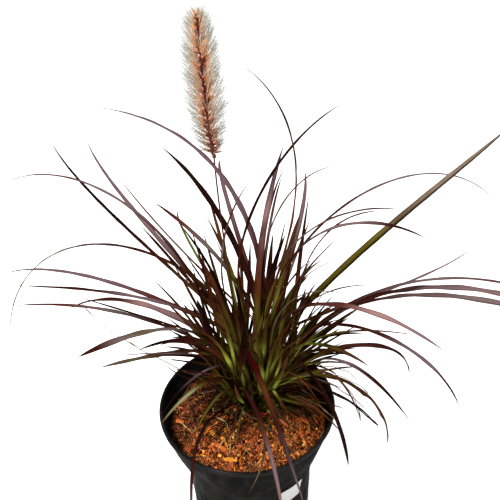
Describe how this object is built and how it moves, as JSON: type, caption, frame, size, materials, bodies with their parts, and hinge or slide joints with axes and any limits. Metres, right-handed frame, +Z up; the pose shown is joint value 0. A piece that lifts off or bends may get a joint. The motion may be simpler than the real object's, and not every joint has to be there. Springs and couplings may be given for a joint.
{
  "type": "potted fountain grass",
  "caption": "Clump of purple fountain grass with arching narrow blades and one upright bottlebrush plume, growing in a round black nursery pot.",
  "frame": {"origin": "middle of the pot's underside, on the surface that it stands on", "axes": "+Z up along the pot's axis, -Y towards the side seen first, +X to that side's right"},
  "size_m": [0.5922, 0.5273, 0.5217],
  "materials": {
    "pot": "black moulded plastic with a soft grey sheen",
    "soil": "loose bark and coir potting mix, orange-brown, dark where damp",
    "label": "blank white sticker, satin",
    "sheath": "living grass sheath, olive green to maroon, satin",
    "stem": "living grass stem, olive brown, satin",
    "plume": "bristly flower head, peach and tan with silver bristles",
    "fallen": "dead red leaf strip",
    "leaf_black": "living grass blade, black, fine parallel veins, satin",
    "leaf_maroon": "living grass blade, maroon, fine parallel veins, satin",
    "leaf_mauve": "living grass blade, mauve, fine parallel veins, satin",
    "leaf_red": "living grass blade, red, fine parallel veins, satin",
    "leaf_brown": "living grass blade, brown, fine parallel veins, satin",
    "leaf_tan": "living grass blade, tan, fine parallel veins, satin",
    "leaf_green": "living grass blade, green, fine parallel veins, satin"
  },
  "bodies": {
    "root": {"pot": "pot", "soil": "soil", "pot_label": "label", "shoot_01": "sheath", "shoot_02": "sheath", "shoot_03": "sheath", "shoot_04": "sheath", "shoot_05": "sheath", "shoot_06": "sheath", "shoot_07": "sheath", "shoot_08": "sheath", "shoot_09": "sheath", "shoot_10": "sheath", "shoot_11": "sheath", "shoot_12": "sheath", "leaf_01": "leaf_black", "leaf_02": "leaf_brown", "leaf_03": "leaf_black", "leaf_04": "leaf_maroon", "leaf_05": "leaf_maroon", "leaf_06": "leaf_green", "leaf_07": "leaf_black", "leaf_08": "leaf_maroon", "leaf_09": "leaf_mauve", "leaf_10": "leaf_brown", "leaf_11": "leaf_black", "leaf_12": "leaf_maroon", "leaf_13": "leaf_red", "leaf_14": "leaf_red", "leaf_15": "leaf_maroon", "leaf_16": "leaf_green", "leaf_17": "leaf_maroon", "leaf_18": "leaf_maroon", "leaf_19": "leaf_red", "leaf_20": "leaf_tan", "leaf_21": "leaf_maroon", "leaf_22": "leaf_mauve", "leaf_23": "leaf_mauve", "leaf_24": "leaf_mauve", "leaf_25": "leaf_brown", "leaf_26": "leaf_maroon", "leaf_27": "leaf_mauve", "leaf_28": "leaf_mauve", "leaf_29": "leaf_maroon", "leaf_30": "leaf_maroon", "leaf_31": "leaf_brown", "leaf_32": "leaf_brown", "leaf_33": "leaf_maroon", "leaf_34": "leaf_green", "leaf_35": "leaf_brown", "leaf_36": "leaf_mauve", "leaf_37": "leaf_black", "leaf_38": "leaf_brown", "leaf_39": "leaf_maroon", "leaf_40": "leaf_brown", "leaf_41": "leaf_brown", "leaf_42": "leaf_maroon", "flower_stem": "stem", "plume": "plume", "fallen_leaf": "fallen"}
  },
  "joints": []
}
